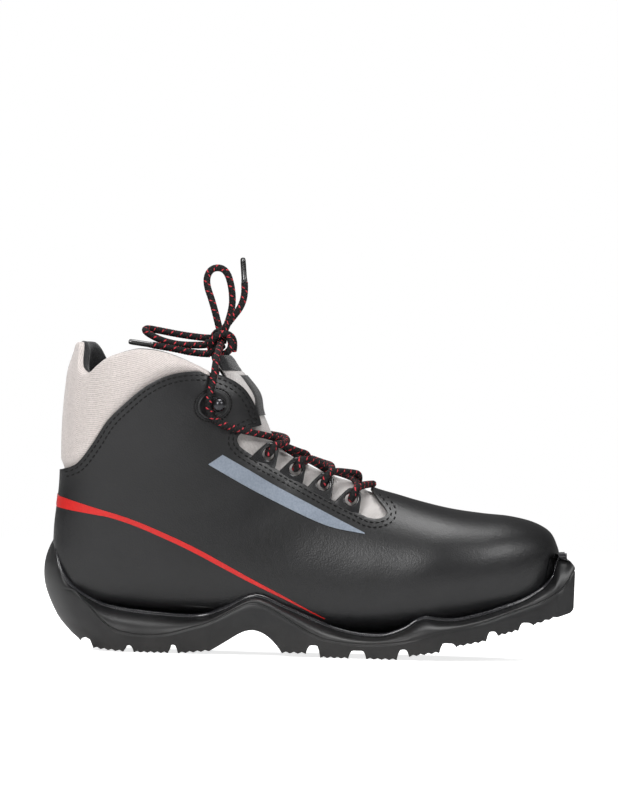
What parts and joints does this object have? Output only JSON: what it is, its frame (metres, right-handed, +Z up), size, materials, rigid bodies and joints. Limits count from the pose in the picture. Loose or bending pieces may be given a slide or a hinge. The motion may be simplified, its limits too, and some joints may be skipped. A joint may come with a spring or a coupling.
{
  "type": "cross country ski boot",
  "caption": "Right laced cross country ski boot: moulded sole with toe bar, smooth upper, padded collar and hinged tongue.",
  "frame": {"origin": "middle of the boot's length and width, on the plane it stands on", "axes": "+X towards the toe, +Y towards the inner side of the foot, +Z up"},
  "size_m": [0.305, 0.1005, 0.228],
  "materials": {
    "upper_leather": "fine grained black synthetic leather",
    "board": "pressed fibre board",
    "stiffener": "moulded thermoplastic",
    "backing": "reinforcing tape",
    "fleece": "black fleece lining",
    "collar_fabric": "light warm grey woven padded fabric",
    "tongue_fabric": "light grey woven padded fabric",
    "label": "blank black woven patch",
    "insole_foam": "foam footbed with fleece top",
    "sole_rubber": "semi-gloss black moulded rubber",
    "spring_steel": "spring steel strip",
    "bar_steel": "ground steel rod",
    "lace_braid": "black round braid with red flecks",
    "loop_plastic": "glossy black moulding",
    "surround_plastic": "black moulding",
    "hook_metal": "black nickel",
    "aglet_plastic": "clear-coated black sleeve"
  },
  "bodies": {
    "boot": {"upper_shell": "upper_leather", "insole_board": "board", "heel_counter": "stiffener", "toe_puff": "stiffener", "eyestay_backing": "backing", "foot_lining": "fleece", "collar": "collar_fabric", "collar_lining": "fleece", "rand": "sole_rubber", "shank": "spring_steel", "binding_bar": "bar_steel", "outsole": "sole_rubber", "lace_knot": "lace_braid", "lace_loop_outer_1": "loop_plastic", "lace_loop_outer_2": "loop_plastic", "lace_loop_outer_3": "loop_plastic", "lace_loop_outer_4": "loop_plastic", "hook_surround_outer": "surround_plastic", "lace_hook_outer": "hook_metal", "lace_loop_inner_1": "loop_plastic", "lace_loop_inner_2": "loop_plastic", "lace_loop_inner_3": "loop_plastic", "lace_loop_inner_4": "loop_plastic", "hook_surround_inner": "surround_plastic", "lace_hook_inner": "hook_metal", "lacing_lower": "lace_braid", "lacing_upper": "lace_braid", "bow_loop_upright": "lace_braid", "bow_loop_side": "lace_braid", "lace_end_upright": "lace_braid", "lace_end_side": "lace_braid", "aglet_upright": "aglet_plastic", "aglet_side": "aglet_plastic"},
    "tongue": {"tongue": "tongue_fabric", "tongue_lining": "fleece", "tongue_label": "label"},
    "insole": {"insole": "insole_foam"}
  },
  "joints": [
    {"name": "tongue_flex", "type": "hinge", "parent": "boot", "child": "tongue", "pos_m": [0.0462, 0, 0.088], "axis": [0, -1, 0], "range_deg": [0, 5], "stiffness_Nm_per_rad": 1.2},
    {"name": "insole_lift", "type": "slide", "parent": "boot", "child": "insole", "axis": [0, 0, 1], "range_m": [0, 0.006]}
  ]
}
